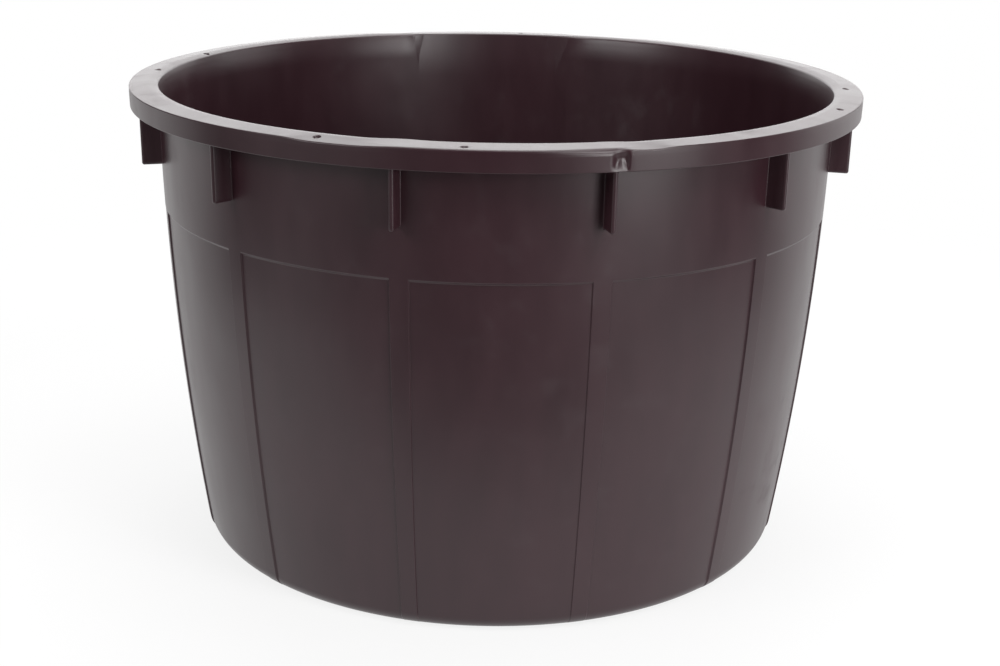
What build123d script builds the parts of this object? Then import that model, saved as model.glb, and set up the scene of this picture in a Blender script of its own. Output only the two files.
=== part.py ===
from build123d import *
from math import cos, degrees, hypot, radians, sin, sqrt
import os

# Round open tub of about 500 litres, moulded in one piece from polyethylene.
# Millimetres. The origin is the centre of the base, +Z is up and the front grip faces -Y.
# Azimuths are in degrees, counted from the front (-Y) towards +X.
# The moulding is divided along its own feature lines into regions that meet face to face.

# Overall
rim_radius = 550.0
rim_height = 705.0

# Wall, outside: a gently bowed line from the floor to the rim, seen in section
rim_overhang = 41.0
wall_taper = 52.5
wall_bow = 12.7
heel_radius = 25.0
strip_heel_radius = 28.0

# Wall, inside: the same kind of line, with its own draft
top_thickness = 6.0
foot_thickness = 9.0
inner_bow = 11.2
inner_heel_radius = 19.0

# Floor: a flat disc, and the margin between it and the inside of the wall
floor_margin = 35.5
floor_thickness = 8.0

# Panels recessed between narrow raised strips, closed at the top by a sloping shoulder
strip_count = 12
strip_angle = 3.0
panel_recess = 2.2
band_depth = 184.5
shoulder_height = 3.0

# Rim: the wall bends outwards into a sloping flange with a skirt turned down at its edge
bend_radius = 18.0
edge_drop = 4.5
edge_round = 2.5
flange_thickness = 6.5
skirt_depth = 33.5
skirt_thickness = 6.0
skirt_draft = 0.5
skirt_seam_below_edge = 8.0

# Hand grips at the front and the back, where the rim's outer edge is rounded over
grip_half_angle = 15.75
grip_drop = 2.5
grip_slope = 0.6
grip_round = 15.0

# Shallow flare of the inner wall below each grip, ending in slanting facets
flare_depth = 4.0
flare_height = 78.0
flare_full_angle = 12.2
flare_end_angle = 15.2

# Gussets: upright plates under the rim, one above each strip
gusset_thickness = 7.0
gusset_depth = 115.5
gusset_inset = 11.5
gusset_draft = 1.0

# Room that a cutting shape reaches past what it cuts
cut_margin = 10.0


class BowedLine:
    """Circular arc in section, through its radius at the floor, halfway up and at its top."""

    def __init__(self, foot, top, height, bow):
        mid_height = height / 2
        mid = (foot + top) / 2 + bow
        # centre of the circle through (foot, 0), (mid, mid_height) and (top, height)
        a = 2 * (mid - foot)
        b = 2 * mid_height
        c = mid**2 - foot**2 + mid_height**2
        d = 2 * (top - foot)
        e = 2 * height
        f = top**2 - foot**2 + height**2
        self.centre_radius = (c * e - b * f) / (a * e - b * d)
        self.centre_height = (a * f - c * d) / (a * e - b * d)
        self.arc_radius = hypot(foot - self.centre_radius, self.centre_height)

    def radius(self, z):
        return self.centre_radius + sqrt(self.arc_radius**2 - (z - self.centre_height) ** 2)

    def point(self, z):
        return (self.radius(z), z)

    def edge(self, start, end):
        return ThreePointArc(self.point(start), self.point((start + end) / 2), self.point(end))


# Heights and radii that follow from the driving dimensions
wall_top_radius = rim_radius - rim_overhang
foot_radius = wall_top_radius - wall_taper
inner_top_radius = wall_top_radius - top_thickness
inner_foot_radius = foot_radius - foot_thickness
floor_radius = inner_foot_radius - floor_margin
shoulder_top = rim_height - band_depth
band_top = rim_height - bend_radius
crest_radius = inner_top_radius + bend_radius
edge_height = rim_height - edge_drop
flange_slope = edge_drop / (rim_radius - crest_radius)
skirt_inner_radius = rim_radius - skirt_thickness
skirt_bottom = rim_height - skirt_depth
skirt_top = edge_height - skirt_seam_below_edge
strip_pitch = 360 / strip_count
gusset_radius = rim_radius - gusset_inset
gusset_bottom = rim_height - gusset_depth

outer_wall = BowedLine(foot_radius, wall_top_radius, band_top, wall_bow)
panel_wall = BowedLine(foot_radius - panel_recess, wall_top_radius - panel_recess, band_top, wall_bow)
inner_wall = BowedLine(inner_foot_radius, inner_top_radius, band_top, inner_bow)


def underside_height(radius):
    """Height of the flange's lower face, which runs parallel to its sloping top."""
    return rim_height - flange_thickness - (radius - crest_radius) * flange_slope


root_height = underside_height(outer_wall.radius(band_top))


def section(*edges):
    """Face in the radial plane; each edge is drawn in radius and height."""
    return make_face(edges)


def rounded(face, corner, radius):
    """The section with the corner nearest to a point rounded off."""
    vertex = face.vertices().sort_by_distance(Vector(*corner, 0))[0]
    return fillet(vertex, radius)


def sector(face, first, last):
    """Solid that a section sweeps between two azimuths."""
    swept = revolve(Plane.XZ * face, Axis.Z, last - first)
    return Rot(0, 0, first - 90) * swept


def ring(face):
    """Solid that a section sweeps all the way round."""
    return revolve(Plane.XZ * face, Axis.Z, 360)


def at(azimuth, radius, z):
    """Point in space from azimuth, radius and height."""
    turn = radians(azimuth)
    return Vector(radius * sin(turn), -radius * cos(turn), z)


def save(name, solid):
    export_step(solid, f"parts/{name}.step")


def lower_wall_section(wall, heel, top_edges, wall_end):
    """Section of the wall from the floor to the shoulder, with a rounded heel inside and out."""
    inner_corner = (inner_wall.radius(floor_thickness), floor_thickness)
    outer_corner = (wall.radius(0), 0)
    face = section(
        Line((floor_radius, 0), outer_corner),
        wall.edge(0, wall_end),
        *top_edges,
        inner_wall.edge(shoulder_top, floor_thickness),
        Line(inner_corner, (floor_radius, floor_thickness)),
        Line((floor_radius, floor_thickness), (floor_radius, 0)),
    )
    face = rounded(face, outer_corner, heel)
    return rounded(face, inner_corner, inner_heel_radius)


def panel_section():
    """Recessed panel, whose shoulder slopes out to the band above it."""
    shoulder_foot = shoulder_top - shoulder_height
    top_edges = [
        Line(panel_wall.point(shoulder_foot), outer_wall.point(shoulder_top)),
        Line(outer_wall.point(shoulder_top), inner_wall.point(shoulder_top)),
    ]
    return lower_wall_section(panel_wall, heel_radius, top_edges, shoulder_foot)


def strip_section():
    """Raised strip, flush with the band above it. Its larger heel brings it back to the panels at the foot."""
    top_edges = [Line(outer_wall.point(shoulder_top), inner_wall.point(shoulder_top))]
    return lower_wall_section(outer_wall, strip_heel_radius, top_edges, shoulder_top)


def flare(middle):
    """Shape cut from the inner wall below a grip: a shallow cone between two slanting facets."""
    low = rim_height - flare_height
    depth_radius = inner_wall.radius(rim_height) + flare_depth
    air_radius = inner_wall.radius(low) - cut_margin
    face = section(
        Polyline(
            inner_wall.point(low),
            (depth_radius, rim_height),
            (air_radius, rim_height),
            (air_radius, low),
            inner_wall.point(low),
        )
    )
    shape = sector(face, middle - grip_half_angle, middle + grip_half_angle)
    centre = at(middle, depth_radius, rim_height)
    for side in (-1, 1):
        deep = at(middle + side * flare_full_angle, depth_radius, rim_height)
        shallow = at(middle + side * flare_end_angle, inner_wall.radius(rim_height), rim_height)
        tip_angle = (flare_full_angle + flare_end_angle) / 2
        tip = at(middle + side * tip_angle, inner_wall.radius(low), low)
        normal = (shallow - deep).cross(tip - deep)
        if normal.dot(centre - deep) < 0:
            normal = -normal
        facet = Plane(origin=deep, x_dir=shallow - deep, z_dir=normal)
        shape = split(shape, bisect_by=facet, keep=Keep.TOP)
    return shape


def flange_underside():
    """Edges of the rim's hollow side, from the skirt's inner face down to the top of the band."""
    return [
        Line(
            (skirt_inner_radius, underside_height(skirt_inner_radius)),
            (outer_wall.radius(root_height), root_height),
        ),
        outer_wall.edge(root_height, band_top),
        Line(outer_wall.point(band_top), inner_wall.point(band_top)),
    ]


def flange_section():
    """Rim flange: bend from the wall, sloping top and outer edge, down to the skirt's seam."""
    bend_middle = bend_radius * (1 - sqrt(0.5))
    edge = (rim_radius, edge_height)
    face = section(
        ThreePointArc(
            inner_wall.point(band_top),
            (inner_top_radius + bend_middle, rim_height - bend_middle),
            (crest_radius, rim_height),
        ),
        Line((crest_radius, rim_height), edge),
        Line(edge, (rim_radius, skirt_top)),
        Line((rim_radius, skirt_top), (skirt_inner_radius, skirt_top)),
        Line((skirt_inner_radius, skirt_top), (skirt_inner_radius, underside_height(skirt_inner_radius))),
        *flange_underside(),
    )
    return rounded(face, edge, edge_round)


def skirt_section():
    """Skirt: short drafted wall that hangs from the flange's outer edge."""
    return section(
        Polyline(
            (skirt_inner_radius, skirt_top),
            (rim_radius, skirt_top),
            (rim_radius - skirt_draft, skirt_bottom),
            (skirt_inner_radius, skirt_bottom),
            (skirt_inner_radius, skirt_top),
        )
    )


def grip_section():
    """Grip: flange and skirt in one, with a square inner edge and a rounded outer edge."""
    top = rim_height - grip_drop
    edge = (rim_radius, top - grip_slope)
    face = section(
        inner_wall.edge(band_top, top),
        Line(inner_wall.point(top), edge),
        Line(edge, (rim_radius, skirt_top)),
        Line((rim_radius, skirt_top), (rim_radius - skirt_draft, skirt_bottom)),
        Line((rim_radius - skirt_draft, skirt_bottom), (skirt_inner_radius, skirt_bottom)),
        Line((skirt_inner_radius, skirt_bottom), (skirt_inner_radius, underside_height(skirt_inner_radius))),
        *flange_underside(),
    )
    return rounded(face, edge, min(grip_round, edge[1] - skirt_top))


def gusset_section():
    """Gusset: plate between the band and the flange's underside, square at the bottom."""
    top_corner = (gusset_radius, underside_height(gusset_radius))
    foot_corner = (gusset_radius - gusset_draft, gusset_bottom)
    return section(
        outer_wall.edge(gusset_bottom, root_height),
        Line(outer_wall.point(root_height), top_corner),
        Line(top_corner, foot_corner),
        Line(foot_corner, outer_wall.point(gusset_bottom)),
    )


os.makedirs("parts", exist_ok=True)

# Floor
save("tub_floor", Pos(0, 0, floor_thickness / 2) * Cylinder(floor_radius, floor_thickness))

# Wall below the shoulder: strips and the panels between them
for index in range(strip_count):
    middle = (index + 0.5) * strip_pitch
    strip_end = middle + strip_angle / 2
    panel_end = middle + strip_pitch - strip_angle / 2
    save(f"wall_strip_{index + 1:02d}", sector(strip_section(), middle - strip_angle / 2, strip_end))
    save(f"wall_panel_{index + 1:02d}", sector(panel_section(), strip_end, panel_end))

# Wall above the shoulder
band_section = section(
    outer_wall.edge(shoulder_top, band_top),
    Line(outer_wall.point(band_top), inner_wall.point(band_top)),
    inner_wall.edge(band_top, shoulder_top),
    Line(inner_wall.point(shoulder_top), outer_wall.point(shoulder_top)),
)
save("upper_band", ring(band_section) - flare(0) - flare(180))

# Rim: plain on both sides, rounded grips at the front and the back
for side, middle in (("right", 90), ("left", 270)):
    first = middle - 90 + grip_half_angle
    last = middle + 90 - grip_half_angle
    save(f"rim_flange_{side}", sector(flange_section(), first, last))
    save(f"rim_skirt_{side}", sector(skirt_section(), first, last))
for end, middle in (("front", 0), ("back", 180)):
    grip = sector(grip_section(), middle - grip_half_angle, middle + grip_half_angle)
    save(f"{end}_grip", grip - flare(middle))

# Gussets under the rim, above the strips
half_angle = degrees(gusset_thickness / gusset_radius) / 2
for index in range(strip_count):
    middle = (index + 0.5) * strip_pitch
    gusset = sector(gusset_section(), middle - half_angle, middle + half_angle)
    save(f"gusset_{index + 1:02d}", gusset)
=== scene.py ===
import math

import bpy
import numpy as np
from mathutils import Matrix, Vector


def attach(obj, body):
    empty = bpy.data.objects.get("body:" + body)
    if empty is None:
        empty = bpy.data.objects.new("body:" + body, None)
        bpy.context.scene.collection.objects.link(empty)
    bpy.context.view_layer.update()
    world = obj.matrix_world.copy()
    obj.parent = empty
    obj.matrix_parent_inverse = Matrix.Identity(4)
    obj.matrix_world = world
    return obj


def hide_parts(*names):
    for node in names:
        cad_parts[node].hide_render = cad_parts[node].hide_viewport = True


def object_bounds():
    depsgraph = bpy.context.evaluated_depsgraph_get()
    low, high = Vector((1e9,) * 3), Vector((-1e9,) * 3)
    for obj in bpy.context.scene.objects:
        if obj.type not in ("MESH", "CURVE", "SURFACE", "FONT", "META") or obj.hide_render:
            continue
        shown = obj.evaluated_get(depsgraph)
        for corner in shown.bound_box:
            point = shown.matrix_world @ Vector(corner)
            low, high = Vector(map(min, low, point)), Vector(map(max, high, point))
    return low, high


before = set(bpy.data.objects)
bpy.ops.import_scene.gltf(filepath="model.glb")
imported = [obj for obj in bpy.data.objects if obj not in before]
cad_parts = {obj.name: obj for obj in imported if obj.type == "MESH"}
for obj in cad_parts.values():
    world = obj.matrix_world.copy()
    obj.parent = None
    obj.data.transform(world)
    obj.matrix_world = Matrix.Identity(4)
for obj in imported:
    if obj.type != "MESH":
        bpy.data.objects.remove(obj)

cad_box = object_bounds()

# Floor of the tub: a flat disc of dark brown polyethylene, about 8 mm thick.
# It is moulded in one with the wall round it, and stands on the ground with its whole face.
MM = 0.001
floor_radius = 412.0
floor_thickness = 8.0
floor_columns = 120
floor_rings = (14.0, 60.0, 130.0, 210.0, 290.0, 360.0, floor_radius)


def points_at(azimuth, radius, height):
    """Points in metres. Azimuth is in degrees from the front towards the right, the rest in millimetres."""
    turn = np.radians(azimuth)
    across, along = radius * np.sin(turn), -radius * np.cos(turn)
    return np.stack(np.broadcast_arrays(across, along, height), axis=-1) * MM


def sample(surface, azimuths, places):
    """Points and true normals of a surface on a grid of azimuths and places along its section."""
    nudge = 0.001
    column, row = np.asarray(azimuths)[:, None], np.asarray(places)[None, :]
    step = nudge * np.sign(places[-1] - places[0])
    round_axis = points_at(column + nudge, *surface(column + nudge, row))
    round_axis = round_axis - points_at(column - nudge, *surface(column - nudge, row))
    along = points_at(column, *surface(column, row + step))
    along = along - points_at(column, *surface(column, row - step))
    normals = np.cross(round_axis, along)
    normals /= np.linalg.norm(normals, axis=-1, keepdims=True)
    return points_at(column, *surface(column, row)), normals


def new_object(name, points, faces):
    """Object with a smooth mesh, put into the scene."""
    mesh = bpy.data.meshes.new(name)
    mesh.from_pydata([tuple(point) for point in points], [], faces)
    mesh.polygons.foreach_set("use_smooth", [True] * len(mesh.polygons))
    piece = bpy.data.objects.new(name, mesh)
    bpy.context.scene.collection.objects.link(piece)
    return piece


def moulded(name, azimuths, runs, ring=False, core=False):
    """Piece of the moulding, swept round the axis. A run is a smooth stretch of its section: a surface and
    the places along it. Runs follow each other with the plastic on their left, and where the next does not
    start where the last one ends, a flat hidden face joins them. A core closes the middle of a disc."""
    touching = 0.01 * MM
    columns = len(azimuths)
    rows, stretches = [], []
    for surface, places in runs:
        spots, normals = sample(surface, azimuths, places)
        shared = bool(rows) and np.allclose(rows[-1], spots[:, 0], atol=touching)
        stretches.append((len(rows) - shared, normals.swapaxes(0, 1)))
        rows.extend(spots[:, shared:].swapaxes(0, 1))
    quads, shading = [], []
    this = np.arange(columns if ring else columns - 1)
    following = (this + 1) % columns

    def span(low, high, low_normals=None, high_normals=None):
        """Faces between two rows, which are flat where no normals are given."""
        low_start, high_start = low * columns, high * columns
        corners = (low_start + this, low_start + following, high_start + following, high_start + this)
        quads.append(np.stack(corners, axis=1))
        if low_normals is None:
            beside = rows[low][following]
            flat = np.cross(beside - rows[low][this], rows[high][following] - beside)
            flat /= np.linalg.norm(flat, axis=1, keepdims=True)
            shading.append(np.repeat(flat[:, None, :], len(corners), axis=1))
        else:
            sides = (low_normals[this], low_normals[following], high_normals[following], high_normals[this])
            shading.append(np.stack(sides, axis=1))

    for number, (first, normals) in enumerate(stretches):
        last = first + len(normals) - 1
        for step in range(len(normals) - 1):
            span(first + step, first + step + 1, normals[step], normals[step + 1])
        after = stretches[(number + 1) % len(stretches)][0]
        if after != last and not (core and after == 0):
            span(last, after)
    faces = [list(quad) for quad in np.concatenate(quads)]
    normals = list(np.concatenate(shading).reshape(-1, 3))
    row_starts = np.arange(len(rows)) * columns
    caps, directions = [], []
    if core:
        around = np.arange(columns)
        caps = [around[::-1], row_starts[-1] + around]
        directions = [np.array((0.0, 0.0, -1.0)), np.array((0.0, 0.0, 1.0))]
    elif not ring:
        caps = [row_starts, row_starts[::-1] + columns - 1]
        turns = np.radians((azimuths[0], azimuths[-1]))
        sideways = [np.array((math.cos(turn), math.sin(turn), 0.0)) for turn in turns]
        directions = [-sideways[0], sideways[1]]
    for cap, direction in zip(caps, directions):
        faces.append(list(cap))
        normals.extend([direction] * len(cap))
    piece = new_object(name, np.concatenate(rows), faces)
    piece.data.normals_split_custom_set([tuple(normal) for normal in normals])
    return piece


def level_face(height):
    """Surface of a flat disc at a height. Places on it are radii."""

    def surface(azimuth, radius):
        return radius + 0 * azimuth, height + 0 * azimuth + 0 * radius

    return surface


class Tone:
    """An output of a shader node. Arithmetic on it adds Math nodes to the same tree."""

    def __init__(self, tree, socket=None):
        self.tree = tree
        self.socket = socket

    @classmethod
    def start(cls, owner):
        """Start in the emptied node tree of a material or a world."""
        owner.use_nodes = True
        owner.node_tree.nodes.clear()
        return cls(owner.node_tree)

    def make(self, kind, output=0, settings=(), **inputs):
        """New node of a kind, with its settings and the values or links of its sockets. Gives one output."""
        node = self.tree.nodes.new(kind)
        for name, value in dict(settings).items():
            setattr(node, name, value)
        for name, value in inputs.items():
            words = name.replace("_", " ")
            open_sockets = [socket for socket in node.inputs if socket.enabled]
            socket = next(s for s in open_sockets if s.identifier in (name, words) or s.name == words)
            if isinstance(value, Tone):
                self.tree.links.new(value.socket, socket)
            else:
                socket.default_value = value
        return Tone(self.tree, node.outputs[output] if node.outputs else None)

    def maths(self, operation, first, second):
        """Result of a Math node on two values."""
        return self.make("ShaderNodeMath", 0, {"operation": operation}, Value=first, Value_001=second)

    def __add__(self, other):
        return self.maths("ADD", self, other)

    def __radd__(self, other):
        return self.maths("ADD", other, self)

    def __sub__(self, other):
        return self.maths("SUBTRACT", self, other)

    def __rsub__(self, other):
        return self.maths("SUBTRACT", other, self)

    def __mul__(self, other):
        return self.maths("MULTIPLY", self, other)

    def __rmul__(self, other):
        return self.maths("MULTIPLY", other, self)

    def __truediv__(self, other):
        return self.maths("DIVIDE", self, other)

    def __rtruediv__(self, other):
        return self.maths("DIVIDE", other, self)

    def __pow__(self, other):
        return self.maths("POWER", self, other)

    def __rpow__(self, other):
        return self.maths("POWER", other, self)

    def split(self):
        """The three parts of this vector."""
        first = self.make("ShaderNodeSeparateXYZ", "X", Vector=self)
        return [Tone(self.tree, output) for output in first.socket.node.outputs]

    def noise(self, scale, detail):
        """Cloudy value from 0 to 1 at the points of this vector."""
        return self.make("ShaderNodeTexNoise", 0, Vector=self, Scale=scale, Detail=detail)

    def between(self, low, high):
        """Smooth step from 0 at a low value to 1 at a high one."""
        ease = {"interpolation_type": "SMOOTHSTEP"}
        return self.make("ShaderNodeMapRange", 0, ease, Value=self, From_Min=low, From_Max=high)

    def mixed(self, first, second):
        """Colour between two colours, with this value as the share of the second."""
        colour_result = 2
        colours = {"Factor_Float": self, "A_Color": first, "B_Color": second}
        return self.make("ShaderNodeMix", colour_result, {"data_type": "RGBA"}, **colours)


def tub_plastic():
    """Dark aubergine brown polyethylene, half glossy, with faint flow marks and rubbed places."""
    deep_brown = (0.0245, 0.0078, 0.0115, 1.0)
    pale_brown = (0.0345, 0.0125, 0.0172, 1.0)
    rubbed_grey = (0.0600, 0.0420, 0.0470, 1.0)
    cloud_share, streak_share, rubbed_share = 0.6, 0.4, 0.22
    plain_roughness = 0.345
    streak_roughness, cloud_roughness, scuff_roughness = 0.08, 0.10, 0.10
    noise_middle = 0.5
    streak_height = 0.55
    axis_clearance = 0.01
    material = bpy.data.materials.new("tub_plastic")
    start = Tone.start(material)
    spot = start.make("ShaderNodeTexCoord", "Object")
    across, along, height = spot.split()
    radius = (across * across + along * along) ** 0.5 + axis_clearance
    flow = start.make("ShaderNodeCombineXYZ", X=across / radius, Y=along / radius, Z=height * streak_height)
    cloud = spot.noise(scale=3.1, detail=3.0)
    streak = flow.noise(scale=14.0, detail=2.0)
    grain = spot.noise(scale=900.0, detail=2.0)
    swell = spot.noise(scale=7.5, detail=1.0)
    rubbed = spot.noise(scale=24.0, detail=2.0).between(low=0.50, high=0.85)
    scuff = rubbed * cloud.between(low=0.40, high=0.66)
    mottle = (cloud * cloud_share + streak * streak_share).between(low=0.30, high=0.70)
    colour = (scuff * rubbed_share).mixed(mottle.mixed(deep_brown, pale_brown), rubbed_grey)
    roughness = plain_roughness + (streak - noise_middle) * streak_roughness
    roughness = roughness + (cloud - noise_middle) * cloud_roughness + scuff * scuff_roughness
    wavy = start.make("ShaderNodeBump", Strength=0.35, Distance=0.004, Height=swell)
    grained = start.make("ShaderNodeBump", Strength=0.10, Distance=0.0004, Height=grain, Normal=wavy)
    shader = start.make(
        "ShaderNodeBsdfPrincipled",
        Base_Color=colour,
        Roughness=roughness,
        IOR=1.5,
        Specular_IOR_Level=0.52,
        Normal=grained,
    )
    start.make("ShaderNodeOutputMaterial", Surface=shader)
    return material


plastic = tub_plastic()
floor_azimuths = np.arange(floor_columns) * 360 / floor_columns
tub_floor = moulded(
    "tub_floor_disc",
    floor_azimuths,
    [(level_face(0.0), floor_rings), (level_face(floor_thickness), floor_rings[::-1])],
    ring=True,
    core=True,
)
tub_floor.data.materials.append(plastic)
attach(tub_floor, "root")
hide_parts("tub_floor")

# Lower wall: twelve panels, each set back a few millimetres between narrow upright strips.
# A sloping shoulder closes each panel at the top, and a round heel brings the wall into the floor.
# It is one moulded wall of the same plastic, bowed a little outwards and thinner towards the top.
rim_height = round(cad_box[1][2] / MM, 1)
floor_margin = 35.5
foot_thickness = 9.0
top_thickness = 6.0
wall_taper = 52.5
inner_foot_radius = floor_radius + floor_margin
foot_radius = inner_foot_radius + foot_thickness
wall_top_radius = foot_radius + wall_taper
inner_top_radius = wall_top_radius - top_thickness
wall_bow = 12.7
inner_bow = 11.2
panel_heel_radius = 25.0
strip_heel_radius = 28.0
inner_heel_radius = 19.0
bend_radius = 18.0
band_top = rim_height - bend_radius
band_depth = 184.5
shoulder_top = rim_height - band_depth
shoulder_height = 3.0
shoulder_softness = 0.3
strip_count = 12
strip_angle = 3.0
strip_pitch = 360 / strip_count
strip_side_run = 0.9
strip_side_softness = 0.42
panel_span = strip_pitch - strip_angle
panel_recess = 2.2
panel_dish = 1.2
dish_start = 40.0
dish_full = 220.0
dish_softness = 0.3


def eased(share, softness):
    """Share kept from 0 to 1, with both bends rounded off over the softness."""

    def area(value):
        return np.where(value < 0, 0, np.where(value < 1, value * value / 2, value - 0.5))

    return (area(share + softness) - area(share - softness)) / (2 * softness)


class WallLine:
    """Section of one side of the wall, by its length from the floor disc: flat, heel, then a bowed line."""

    def __init__(self, foot, top, bow, base, heel):
        middle_height, middle = band_top / 2, (foot + top) / 2 + bow
        out = (2 * (middle - foot), 2 * (top - foot))
        up = (2 * middle_height, 2 * band_top)
        squares = (middle**2 - foot**2 + middle_height**2, top**2 - foot**2 + band_top**2)
        area = out[0] * up[1] - up[0] * out[1]
        centre_radius = (squares[0] * up[1] - up[0] * squares[1]) / area
        centre_height = (out[0] * squares[1] - squares[0] * out[1]) / area
        self.centre = (centre_radius, centre_height)
        self.arc = math.hypot(foot - centre_radius, centre_height)
        self.base, self.heel = base, heel
        rise = base + heel - centre_height
        self.heel_centre = centre_radius + math.sqrt((self.arc - heel) ** 2 - rise**2)
        self.turn = math.atan2(rise, self.heel_centre - centre_radius)
        self.heel_start = self.heel_centre - floor_radius
        self.wall_start = self.heel_start + heel * (self.turn + math.pi / 2)
        self.stops = (0.0, self.heel_start, self.wall_start, self.length(shoulder_top))

    def at(self, length):
        """Radius and height at a length along the line."""
        flat = length < self.heel_start
        heel_angle = (length - self.heel_start) / self.heel - math.pi / 2
        wall_angle = self.turn + (length - self.wall_start) / self.arc
        on_heel = length < self.wall_start
        radius = np.where(
            on_heel,
            self.heel_centre + self.heel * np.cos(heel_angle),
            self.centre[0] + self.arc * np.cos(wall_angle),
        )
        height = np.where(
            on_heel,
            self.base + self.heel + self.heel * np.sin(heel_angle),
            self.centre[1] + self.arc * np.sin(wall_angle),
        )
        return np.where(flat, floor_radius + length, radius), np.where(flat, self.base, height)

    def length(self, height):
        """Length at which the bowed line reaches a height."""
        return self.wall_start + (math.asin((height - self.centre[1]) / self.arc) - self.turn) * self.arc

    def radius(self, height):
        """Radius of the bowed line at a height."""
        return self.centre[0] + np.sqrt(self.arc**2 - (height - self.centre[1]) ** 2)


panel_foot_radius = foot_radius - panel_recess
panel_top_radius = wall_top_radius - panel_recess
outer_line = WallLine(foot_radius, wall_top_radius, wall_bow, 0.0, strip_heel_radius)
panel_line = WallLine(panel_foot_radius, panel_top_radius, wall_bow, 0.0, panel_heel_radius)
inner_line = WallLine(inner_foot_radius, inner_top_radius, inner_bow, floor_thickness, inner_heel_radius)


def outside(azimuth, length):
    """Outside of the wall: on the panels' line between strips, on the outer line on a strip and above."""
    strip_radius, strip_height = outer_line.at(length)
    panel_radius, panel_height = panel_line.at(np.interp(length, outer_line.stops, panel_line.stops))
    from_middle = ((azimuth / strip_pitch + 0.5) % 1 - 0.5) * strip_pitch
    from_strip = panel_span / 2 - np.abs(from_middle)
    dish = np.clip(1 - (from_middle / panel_span * 2) ** 2, 0, 1)
    dish_growth = eased((strip_height - dish_start) / (dish_full - dish_start), dish_softness)
    panel_radius = panel_radius - panel_dish * dish * dish_growth
    side = eased(np.radians(from_strip) * strip_radius / strip_side_run + 0.5, strip_side_softness)
    share = side * eased((shoulder_top - strip_height) / shoulder_height, shoulder_softness)
    radius = strip_radius + (panel_radius - strip_radius) * share
    return radius, strip_height + (panel_height - strip_height) * share


def plain_inside(azimuth, length):
    """Inside of the wall, round and smooth."""
    radius, height = inner_line.at(length)
    return radius + 0 * azimuth, height + 0 * azimuth


def joined(*stretches):
    """Places in rising order, from stretches that are given by start, end and count."""
    places = np.concatenate([np.linspace(*stretch) for stretch in stretches])
    return np.unique(np.round(places, 6))


edge_distances = np.array((0.0, 0.2, 0.4, 0.6, 0.8, 1.0, 1.3, 2.0, 3.5, 7.0))
edge_steps = np.degrees(edge_distances / foot_radius)
half_strip = strip_angle / 2
strip_columns = np.unique(np.concatenate((edge_steps - half_strip, (0.0,), half_strip - edge_steps)))
wide_column_count = 19
wide_columns = np.linspace(edge_steps[-1], panel_span - edge_steps[-1], wide_column_count)
panel_columns = np.unique(np.concatenate((edge_steps, wide_columns, panel_span - edge_steps)))
below_shoulder = 8.0
outer_shoulder = outer_line.length(shoulder_top)
outer_places = joined(
    (0.0, outer_line.heel_start, 5),
    (outer_line.heel_start, outer_line.wall_start, 13),
    (outer_line.wall_start, outer_shoulder - below_shoulder, 36),
    (outer_shoulder - below_shoulder, outer_shoulder, 22),
)
inner_shoulder = inner_line.length(shoulder_top)
inner_places = joined(
    (0.0, inner_line.heel_start, 3),
    (inner_line.heel_start, inner_line.wall_start, 11),
    (inner_line.wall_start, inner_shoulder, 34),
)
lower_runs = [(outside, outer_places), (plain_inside, inner_places[::-1])]
for index in range(strip_count):
    middle = (index + 0.5) * strip_pitch
    kinds = (("wall_strip", middle, strip_columns), ("wall_panel", middle + half_strip, panel_columns))
    for kind, first_azimuth, columns in kinds:
        node = f"{kind}_{index + 1:02d}"
        piece = moulded(f"{node}_face", first_azimuth + columns, lower_runs)
        piece.data.materials.append(plastic)
        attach(piece, "root")
        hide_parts(node)

# Upper band: the plain wall between the panels and the rim, flush with the strips below it.
# Inside, it opens out in a shallow flare under each hand grip, with a slanting facet at either end,
# and in a soft lip just below the plain rim. It is moulded in one with the wall and the rim.
flare_height = 78.0
flare_low = rim_height - flare_height
flare_depth = 4.5
flare_ends = (16.5, 16.6)
flare_facet_widths = (7.0, 3.0)
lip_height = 45.0
lip_low = rim_height - lip_height
lip_depth = 6.0
lip_ends = (16.6, 16.2)
lip_runs = (4.4, 3.4)
lip_softness = 0.35


def from_grip(azimuth):
    """Angle from the middle of the nearer grip, growing to the right of it seen from outside."""
    return (azimuth + 90) % 180 - 90


def either_side(side, pair):
    """First value of a pair to the left of a grip's middle, second value to the right of it."""
    return np.where(side > 0, pair[1], pair[0])


def flare(azimuth, height):
    """Widening of the inner wall under the grips."""
    side = from_grip(azimuth)
    rise = np.clip((height - flare_low) / flare_height, 0, 1)
    end, width = either_side(side, flare_ends), either_side(side, flare_facet_widths)
    facet = flare_depth / width * (end - np.abs(side) - width / 2 * (1 - rise))
    return np.maximum(np.minimum(flare_depth * rise**2, facet), 0)


def beside_grip(azimuth):
    """Share from 0 on a hand grip to 1 on the plain rim beside it."""
    side = from_grip(azimuth)
    end, run = either_side(side, lip_ends), either_side(side, lip_runs)
    return 1 - eased((end + run / 2 - np.abs(side)) / run, lip_softness)


def lip(azimuth, height):
    """Widening of the inner wall just below the plain rim, where it starts to bend outwards."""
    rise = np.clip((height - lip_low) / lip_height, 0, 1)
    return lip_depth * rise**2 * beside_grip(azimuth)


def inside(azimuth, length):
    """Inside of the band, with its flares and its lip."""
    radius, height = inner_line.at(length)
    return radius + flare(azimuth, height) + lip(azimuth, height), height + 0 * azimuth


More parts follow.
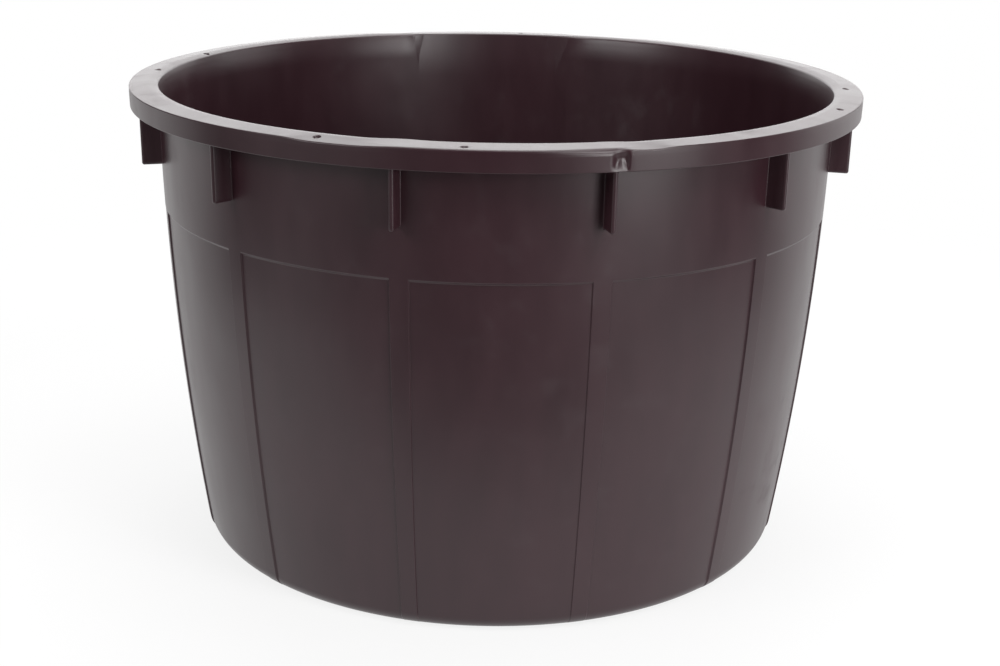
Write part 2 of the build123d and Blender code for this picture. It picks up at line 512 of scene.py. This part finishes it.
facet_stretch = (11.6, 17.2, 30)
facet_columns = np.concatenate([np.linspace(*facet_stretch) + middle for middle in (0.0, 180.0)])
band_columns = [facet_columns, -facet_columns]
for index in range(strip_count):
    middle = (index + 0.5) * strip_pitch
    band_columns += [middle + strip_columns, middle + half_strip + panel_columns]
band_azimuths = np.unique(np.round(np.concatenate(band_columns) % 360, 4))
above_shoulder = 3.0
outer_band_places = joined(
    (outer_shoulder, outer_shoulder + above_shoulder, 10),
    (outer_shoulder + above_shoulder, outer_line.length(band_top), 14),
)
inner_band_places = joined(
    (inner_shoulder, inner_line.length(flare_low), 8),
    (inner_line.length(flare_low), inner_line.length(band_top), 24),
)
band = moulded(
    "upper_band_wall",
    band_azimuths,
    [(outside, outer_band_places), (inside, inner_band_places[::-1])],
    ring=True,
)
band.data.materials.append(plastic)
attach(band, "root")
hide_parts("upper_band")

# Rim: the wall bends outwards into a sloping flange of the same plastic, with a skirt turned down all round.
# The outer edge is rounded over at the two hand grips, and beside them the flange sinks in two wings.
# A pocket closes the sharper end of each grip, and small pits from the moulding dot the flange.
rim_overhang = 41.0
rim_radius = wall_top_radius + rim_overhang
crest_radius = inner_top_radius + bend_radius
crest_height = 703.6
crest_round = 27.0
edge_drop = 4.5
edge_height = rim_height - edge_drop
edge_round = 1.4
flange_thickness = 6.5
root_round = 13.0
skirt_thickness = 6.0
skirt_inner_radius = rim_radius - skirt_thickness
skirt_below_edge = 8.0
skirt_top = edge_height - skirt_below_edge
skirt_depth = 33.5
skirt_bottom = rim_height - skirt_depth
skirt_draft = 0.5
skirt_root_round = 1.7
skirt_foot_round = 1.3
# Inner bend, from the crest down to the band
bend_reach = 9.5
bend_fall = 3.2
bend_round = 4.0
bend_knee = 694.0
knee_round = 100.0
# Grips. The first value of a pair is for the soft end on the left, the second for the sharp end
grip_height = 702.1
grip_inner_round = 1.6
grip_outer_rounds = (3.6, 9.0)
swell_start = 5.0
swell_full = 13.5
grip_lean = 1.2
grip_setback = 1.2
grip_crease = 12.0
grip_ends = (15.4, 16.0)
grip_end_runs = (6.0, 1.6)
grip_top_end = 17.0
grip_top_run = 9.0
grip_softness = 0.35
# Wings beside the grips, and the crease where the flange turns down to its edge
wing_starts = (30.0, 23.2)
wing_run = 3.0
wing_roots = (14.0, 14.6)
wing_growths = (5.0, 4.6)
wing_drops = (2.2, 2.6)
wing_softness = 0.4
wing_width = 18.0
wing_share = 0.55
wing_lift = 0.1
wing_edge_round = 2.0
plain_crease = 3.0
crease_round = 26.0
# Pocket in the skirt at the sharp end of a grip, with a peaked sill
pocket_depth = 4.2
pocket_back_share = 0.5
pocket_start = 14.0
pocket_start_run = 0.75
pocket_end = 16.4
pocket_end_runs = (0.3, 0.42)
pocket_low = 673.0
pocket_high = 698.0
pocket_high_run = 7.0
pocket_softness = 0.45
sill_run = 7.0
sill_peak = 9.0
sill_peak_place = 15.4
sill_peak_width = 0.9
sill_softness = 0.3
# Moulding pits, by azimuth and radius
pits = (
    (-113.2, 516.0),
    (-92.6, 521.0),
    (-25.8, 533.0),
    (-5.2, 534.0),
    (63.2, 532.6),
    (82.7, 526.5),
    (153.6, 529.0),
    (174.2, 529.0),
)
pit_radius = 4.3
pit_depth = 2.6
pit_reach = 1.25
pit_slope = 0.5
pit_softness = 0.4
# Numbers of some corners of the rim's section, and the places along it where the pocket is
wall_corner, skirt_root_corner, inner_seam_corner, inner_foot_corner = 0, 2, 3, 4
outer_seam_corner, edge_corner, crease_corner, knee_corner, band_corner = 6, 7, 8, 11, 12
corner_share = 0.3
back_foot_share = 0.5
front_foot_share = 0.6
pocket_back = (skirt_root_corner, inner_foot_corner + back_foot_share)
pocket_front = (inner_foot_corner + front_foot_share, crease_corner)


def rounded_path(place, corners):
    """Point at a place on a path with rounded corners. Whole numbers are the corners, which are given as
    radius, height and rounding."""
    least = 0.25
    spots = [np.stack(np.broadcast_arrays(radius, height), axis=-1) for radius, height, _ in corners]
    count = len(corners)
    starts, ends, weights = [spots[0]], [spots[0]], [None]
    for number in range(1, count - 1):
        back, on = spots[number - 1] - spots[number], spots[number + 1] - spots[number]
        back_length = np.linalg.norm(back, axis=-1, keepdims=True)
        on_length = np.linalg.norm(on, axis=-1, keepdims=True)
        back, on = back / back_length, on / on_length
        half = np.arccos(np.clip(np.sum(back * on, axis=-1, keepdims=True), -1, 1)) / 2
        reach = np.maximum(np.asarray(corners[number][2])[..., None] / np.tan(half), least)
        starts.append(spots[number] + back * reach)
        ends.append(spots[number] + on * reach)
        weights.append(np.sin(half))
    starts.append(spots[-1])
    ends.append(spots[-1])
    place = place[..., None]
    result = 0.0
    for number in range(count - 1):
        low = number + (corner_share if number else 0.0)
        high = number + 1 - (corner_share if number < count - 2 else 0.0)
        line = ends[number] + (starts[number + 1] - ends[number]) * (place - low) / (high - low)
        result = np.where(place >= low, line, result) if number else line
    for number in range(1, count - 1):
        share = (place - number) / (2 * corner_share) + 0.5
        first, last, pull = (1 - share) ** 2, share**2, 2 * weights[number] * share * (1 - share)
        arc = (first * starts[number] + pull * spots[number] + last * ends[number]) / (first + pull + last)
        result = np.where((share > 0) & (share < 1), arc, result)
    return result[..., 0], result[..., 1]


def pocket(side, height):
    """Depth of the pocket at the sharp end of a grip, by the angle from its middle and the height."""
    tallness = np.clip((height - pocket_low) / (pocket_high - pocket_low), 0, 1)
    end_run = pocket_end_runs[0] + (pocket_end_runs[1] - pocket_end_runs[0]) * tallness
    start = eased((side - pocket_start) / pocket_start_run, pocket_softness)
    end = eased((pocket_end - side) / end_run, pocket_softness)
    peak = eased(1 - np.abs(side - sill_peak_place) / sill_peak_width, pocket_softness)
    sill = eased((height - pocket_low) / (sill_run + sill_peak * peak), sill_softness)
    ceiling = eased((pocket_high - height) / pocket_high_run, pocket_softness)
    return pocket_depth * start * end * sill * ceiling


def flange_underside(radius):
    """Height of the flange's lower face."""
    slope = (rim_height - edge_height) / (rim_radius - crest_radius)
    return rim_height - flange_thickness - (radius - crest_radius) * slope


def rim(azimuth, place):
    """Section of the rim, from the outside of the wall under the flange, round the skirt, over the top."""
    side = from_grip(azimuth)
    away = np.abs(side)
    end, run = either_side(side, grip_ends), either_side(side, grip_end_runs)
    grip = eased((end + run / 2 - away) / run, grip_softness)
    top_grip = eased((grip_top_end + grip_top_run / 2 - away) / grip_top_run, grip_softness)
    bend_grip = 1 - beside_grip(azimuth)
    swell = eased((side - swell_start) / (swell_full - swell_start), grip_softness)
    wing = eased((either_side(side, wing_starts) - away) / wing_run, wing_softness)
    wing_growth = either_side(side, wing_growths)
    wing = wing * eased((away - either_side(side, wing_roots)) / wing_growth, wing_softness)
    drop = either_side(side, wing_drops) * wing

    def mix(plain, gripped, share=grip):
        return plain + (gripped - plain) * share

    def inner(height):
        return inner_line.radius(height) + flare(azimuth, height) + lip(azimuth, height)

    none = 0 * azimuth
    nearby = 1.0
    top = mix(crest_height, grip_height, top_grip) + wing_lift * wing * (1 - bend_grip)
    outer = rim_radius - grip_setback * grip
    outer_edge = outer - grip_lean * swell * grip
    outer_round = mix(edge_round, wing_edge_round, wing)
    outer_round = mix(outer_round, mix(*grip_outer_rounds, swell))
    crease = rim_radius - mix(mix(plain_crease, wing_width, wing), grip_crease)
    slope = (edge_height - top) / (rim_radius - crest_radius)
    crease_height = top + slope * (crease - crest_radius) - wing_share * drop
    root = flange_underside(outer_line.radius(band_top))
    lean = (inner(band_top + nearby) - inner(band_top - nearby)) / (2 * nearby)
    reach, fall = (mix(plain, grip_inner_round, bend_grip) for plain in (bend_reach, bend_fall))
    corners = [
        (outer_line.radius(band_top) + none, band_top, 0),
        (outer_line.radius(root) + none, root, root_round),
        (skirt_inner_radius + none, flange_underside(skirt_inner_radius), skirt_root_round),
        (skirt_inner_radius + none, skirt_top, 0),
        (skirt_inner_radius + none, skirt_bottom, skirt_foot_round),
        (outer - skirt_draft, skirt_bottom, skirt_foot_round),
        (outer, skirt_top, 0),
        (outer_edge, edge_height - drop, outer_round),
        (crease, crease_height, crease_round),
        (inner(top) + reach, top, mix(crest_round, grip_inner_round, bend_grip)),
        (inner(top - fall), top - fall, mix(bend_round, grip_inner_round, bend_grip)),
        (inner(band_top) + lean * (bend_knee - band_top), bend_knee, knee_round),
        (inner(band_top), band_top, 0),
    ]
    radius, height = rounded_path(place + none, corners)
    in_front = (place > pocket_front[0]) & (place < pocket_front[1])
    behind = (place > pocket_back[0]) & (place < pocket_back[1])
    pocket_share = np.where(in_front, 1.0, np.where(behind, pocket_back_share, 0.0))
    radius = radius - pocket(side, height) * pocket_share
    on_top = (place > edge_corner) & (place < knee_corner)
    for pit_azimuth, pit_place in pits:
        aside = np.radians((azimuth - pit_azimuth + 180) % 360 - 180) * pit_place
        distance = np.hypot(aside, radius - pit_place) / pit_radius
        dip = pit_depth * eased((pit_reach - distance) / pit_slope, pit_softness)
        height = height - np.where(on_top, dip, 0)
    return radius, height


def rim_places(first, last):
    """Places along the rim's section between two of its corners, close together on rounded corners."""
    line_steps = (3, 6, 3, 4, 3, 18, 8, 12, 26, 4, 4, 3)
    arc_steps = (0, 9, 5, 2, 5, 5, 2, 9, 5, 12, 9, 5)
    end_steps = 3
    stretches = [(first, first + corner_share, end_steps), (last - corner_share, last, end_steps)]
    for corner in range(first, last):
        start = corner + (corner_share if corner > wall_corner else 0.0)
        end = corner + 1 - (corner_share if corner < knee_corner else 0.0)
        stretches.append((start, end, line_steps[corner]))
        if corner > first:
            stretches.append((corner - corner_share, corner + corner_share, arc_steps[corner]))
    return joined(*stretches)


grip_end_columns = (10.5, 17.5, 84)
wing_columns = (17.5, 31.0, 28)
pit_columns = (-5.2, 5.2, 21)
plain_column_step = 1.0
rim_columns = [np.arange(0.0, 360.0, plain_column_step)]
for middle in (0.0, 180.0):
    for side in (-1, 1):
        for stretch in (grip_end_columns, wing_columns):
            rim_columns.append(middle + side * np.linspace(*stretch))
for pit_azimuth, pit_place in pits:
    rim_columns.append(pit_azimuth + np.degrees(np.linspace(*pit_columns) / pit_place))
rim_azimuths = np.unique(np.round(np.concatenate(rim_columns) % 360, 4))
grip_half_angle = 15.75
seams = np.array((grip_half_angle, 180 - grip_half_angle, 180 + grip_half_angle, 360 - grip_half_angle))


def columns_between(first, last):
    """Azimuths of the rim from one seam to another."""
    clear = 0.02
    turned = (rim_azimuths - first) % 360 + first
    chosen = turned[(turned > first + clear) & (turned < last - clear)]
    return np.concatenate(((first,), np.sort(chosen), (last,)))


under_places = rim_places(wall_corner, inner_seam_corner)
skirt_places = rim_places(inner_seam_corner, outer_seam_corner)
top_places = rim_places(outer_seam_corner, band_corner)
for side, first, last in (("right", seams[0], seams[1]), ("left", seams[2], seams[3])):
    azimuths = columns_between(first, last)
    flange = moulded(f"rim_flange_{side}_top", azimuths, [(rim, under_places), (rim, top_places)])
    skirt = moulded(f"rim_skirt_{side}_edge", azimuths, [(rim, skirt_places)])
    for piece, node in ((flange, f"rim_flange_{side}"), (skirt, f"rim_skirt_{side}")):
        piece.data.materials.append(plastic)
        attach(piece, "root")
        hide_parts(node)

# Hand grips: the stretches of rim at the front and the back, rounded over on the outside for the hands.
# They are moulded in one with the flange and the skirt on either side.
grip_places = rim_places(wall_corner, band_corner)
for end, first, last in (("front", seams[3] - 360, seams[0]), ("back", seams[1], seams[2])):
    grip = moulded(f"{end}_grip_bar", columns_between(first, last), [(rim, grip_places)])
    grip.data.materials.append(plastic)
    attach(grip, "root")
    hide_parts(f"{end}_grip")

# Gussets: upright plates of the same plastic under the flange, one above each strip, that stiffen the rim.
# They are moulded in one with the band, with a small fillet at the wall and softened edges.
gusset_thickness = 7.0
gusset_depth = 115.5
gusset_bottom = rim_height - gusset_depth
gusset_inset = 11.5
gusset_radius = rim_radius - gusset_inset
gusset_draft = 1.0
gusset_fillet = 1.2
gusset_edge = 3.3
gusset_flat = 0.1
gusset_sunk = 0.8
gusset_root_top = 697.0
gusset_root_slope = 0.2
gusset_sharp_angle = 40.0
gusset_level_shares = (0.05, 1.0, 9)
quarter_turn = np.linspace(0, math.pi / 2, 5)


def gusset_plan(inset, wall, outer):
    """Half outline of a gusset seen from above, from the wall to the middle of its outer edge."""
    half = gusset_thickness / 2 - inset
    outer = outer - inset
    edge_bend = min(gusset_edge, half - gusset_flat)
    plan = [(wall - gusset_sunk, half + gusset_fillet)]
    for angle in quarter_turn:
        fillet_out, fillet_aside = 1 - math.cos(angle), 1 - math.sin(angle)
        plan.append((wall + gusset_fillet * fillet_out, half + gusset_fillet * fillet_aside))
    plan.append((crest_radius, half))
    for angle in quarter_turn:
        edge_back, edge_aside = 1 - math.sin(angle), 1 - math.cos(angle)
        plan.append((outer - edge_bend * edge_back, half - edge_bend * edge_aside))
    return plan


def gusset(name, azimuth):
    """Plate at an azimuth, in level outlines from its rounded lower edge up into the flange."""
    levels = []
    for angle in quarter_turn:
        up, inset = gusset_edge * (1 - math.cos(angle)), gusset_edge * (1 - math.sin(angle))
        levels.append((gusset_bottom + up, inset))
    for share in np.linspace(*gusset_level_shares):
        levels.append((gusset_bottom + share * gusset_depth, 0.0))
    turn = math.radians(azimuth)
    outward = np.array((math.sin(turn), -math.cos(turn)))
    sideways = np.array((math.cos(turn), math.sin(turn)))
    points = []
    for height, inset in levels:
        share = min((height - gusset_bottom) / gusset_depth, 1.0)
        wall = float(outer_line.radius(min(height, band_top)))
        half = gusset_plan(inset, wall, gusset_radius - gusset_draft * (1 - share))
        for along, aside in half + [(along, -aside) for along, aside in reversed(half)]:
            bend_roof = gusset_root_top + (along - wall_top_radius) * gusset_root_slope
            roof = min(flange_underside(along) + gusset_sunk, bend_roof)
            spot = outward * along + sideways * aside
            points.append((spot[0] * MM, spot[1] * MM, min(height, roof) * MM))
    count = len(points) // len(levels)
    faces = []
    for level in range(len(levels) - 1):
        low, high = level * count, (level + 1) * count
        for step in range(count):
            following = (step + 1) % count
            faces.append((low + following, low + step, high + step, high + following))
    faces.append(list(range(count)))
    faces.append(list(range(len(points) - count, len(points)))[::-1])
    piece = new_object(name, points, faces)
    piece.data.set_sharp_from_angle(angle=math.radians(gusset_sharp_angle))
    return piece


for index in range(strip_count):
    node = f"gusset_{index + 1:02d}"
    piece = gusset(f"{node}_plate", (index + 0.5) * strip_pitch)
    piece.data.materials.append(plastic)
    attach(piece, "root")
    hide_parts(node)

# Studio floor: one large sheet of pale paper under the tub, which the camera sees white all round.
# Reflections in the tub see it white near the tub and behind it, and grey farther out in front and beside.
floor_size = 60.0
floor_level = -0.0004
white_paper = (0.90, 0.90, 0.90, 1.0)
grey_paper = (0.24, 0.24, 0.24, 1.0)
white_light = (1.0, 1.0, 1.0, 1.0)
front_edge = (-1.15, -0.65)
side_edge = (1.2, 1.8)
behind_edge = (0.0, 0.9)
away_edge = (1.2, 2.2)
near_glow = 0.82
paper = bpy.data.materials.new("studio_paper")
start = Tone.start(paper)
across, along, _ = start.make("ShaderNodeTexCoord", "Object").split()
aside = (across * across).between(side_edge[0] ** 2, side_edge[1] ** 2)
beside = aside * (1.0 - along.between(*behind_edge))
white = along.between(*front_edge) * (1.0 - beside)
matt = start.make("ShaderNodeBsdfDiffuse", Color=white.mixed(grey_paper, white_paper))
glow = start.make("ShaderNodeEmission", Color=white_light, Strength=1.0)
camera_ray, glossy_ray, clear_ray = (
    start.make("ShaderNodeLightPath", f"Is {kind} Ray") for kind in ("Camera", "Glossy", "Transmission")
)
away = (across * across + along * along).between(away_edge[0] ** 2, away_edge[1] ** 2)
shown = (near_glow + (1.0 - near_glow) * away) * (camera_ray + white * (glossy_ray + clear_ray))
surface = start.make("ShaderNodeMixShader", Fac=shown, Shader=matt, Shader_001=glow)
start.make("ShaderNodeOutputMaterial", Surface=surface)
half_floor = floor_size / 2
corner_signs = ((-1, -1), (1, -1), (1, 1), (-1, 1))
floor_corners = [(x * half_floor, y * half_floor, floor_level) for x, y in corner_signs]
studio_floor = new_object("studio_floor", floor_corners, [(0, 1, 2, 3)])
studio_floor.data.materials.append(paper)

# Studio light: a faint even room light, and nine large soft panels round and above the tub.
# The camera sees the room white and the panels not at all.
room_light = 0.08
world = bpy.data.worlds.new("studio_room")
start = Tone.start(world)
camera_ray = start.make("ShaderNodeLightPath", "Is Camera Ray")
strength = room_light + (1.0 - room_light) * camera_ray
room = start.make("ShaderNodeBackground", Color=white_light, Strength=strength)
start.make("ShaderNodeOutputWorld", Surface=room)
bpy.context.scene.world = world


def light_panel(name, direction, distance, size, brightness):
    """Soft panel that faces the middle of the tub. Its direction is an azimuth from the front towards the
    right and an elevation, and its size a width and a height."""
    tub_middle = 0.4
    panel = bpy.data.lights.new(name, "AREA")
    panel.shape = "RECTANGLE"
    width, height = size
    panel.size, panel.size_y = width, height
    panel.energy = brightness * math.pi * width * height
    lamp = bpy.data.objects.new(name, panel)
    lamp.visible_camera = False
    bpy.context.scene.collection.objects.link(lamp)
    turn, rise = (math.radians(angle) for angle in direction)
    facing = Matrix.Rotation(turn, 4, "Z") @ Matrix.Rotation(math.pi / 2 - rise, 4, "X")
    middle, away = Matrix.Translation((0, 0, tub_middle)), Matrix.Translation((0, 0, distance))
    lamp.matrix_world = middle @ facing @ away


light_panel("back_low_panel", direction=(180.0, 9.0), distance=3.6, size=(5.6, 1.2), brightness=2.2)
light_panel("back_high_panel", direction=(180.0, 36.0), distance=3.6, size=(4.5, 2.0), brightness=2.9)
light_panel("back_right_panel", direction=(112.0, 15.0), distance=3.4, size=(2.0, 2.0), brightness=1.9)
light_panel("top_panel", direction=(0.0, 90.0), distance=2.4, size=(1.6, 1.7), brightness=4.4)
light_panel("front_top_panel", direction=(38.0, 46.0), distance=3.0, size=(0.6, 1.0), brightness=14.0)
light_panel("left_key_panel", direction=(-52.0, 28.0), distance=3.0, size=(1.4, 1.0), brightness=6.8)
light_panel("left_low_panel", direction=(-50.0, 4.0), distance=2.6, size=(2.2, 0.7), brightness=0.8)
light_panel("right_front_panel", direction=(32.0, 14.0), distance=2.6, size=(0.65, 0.9), brightness=11.0)
light_panel("right_panel", direction=(44.0, 8.0), distance=2.6, size=(0.9, 1.4), brightness=3.0)

# Camera: it stands about 2.5 m in front of the tub's middle and looks down on it over the rim.
# Its place, its angles in radians and its lens in millimetres follow the photograph's view.
camera_place = (-0.0488, -2.4618, 1.0907)
camera_heading = 0.02472
camera_pitch = 0.314
camera_roll = 0.0179
camera_lens = 57.89
camera_sensor = 36.0
camera_data = bpy.data.cameras.new("camera")
camera_data.sensor_width = camera_sensor
camera_data.lens = camera_lens
camera = bpy.data.objects.new("camera", camera_data)
bpy.context.scene.collection.objects.link(camera)
aim = Matrix.Rotation(-camera_heading, 4, "Z") @ Matrix.Rotation(math.pi / 2 - camera_pitch, 4, "X")
camera.matrix_world = Matrix.Translation(camera_place) @ aim @ Matrix.Rotation(camera_roll, 4, "Z")
bpy.context.scene.camera = camera
bpy.context.scene.view_settings.view_transform = "Standard"
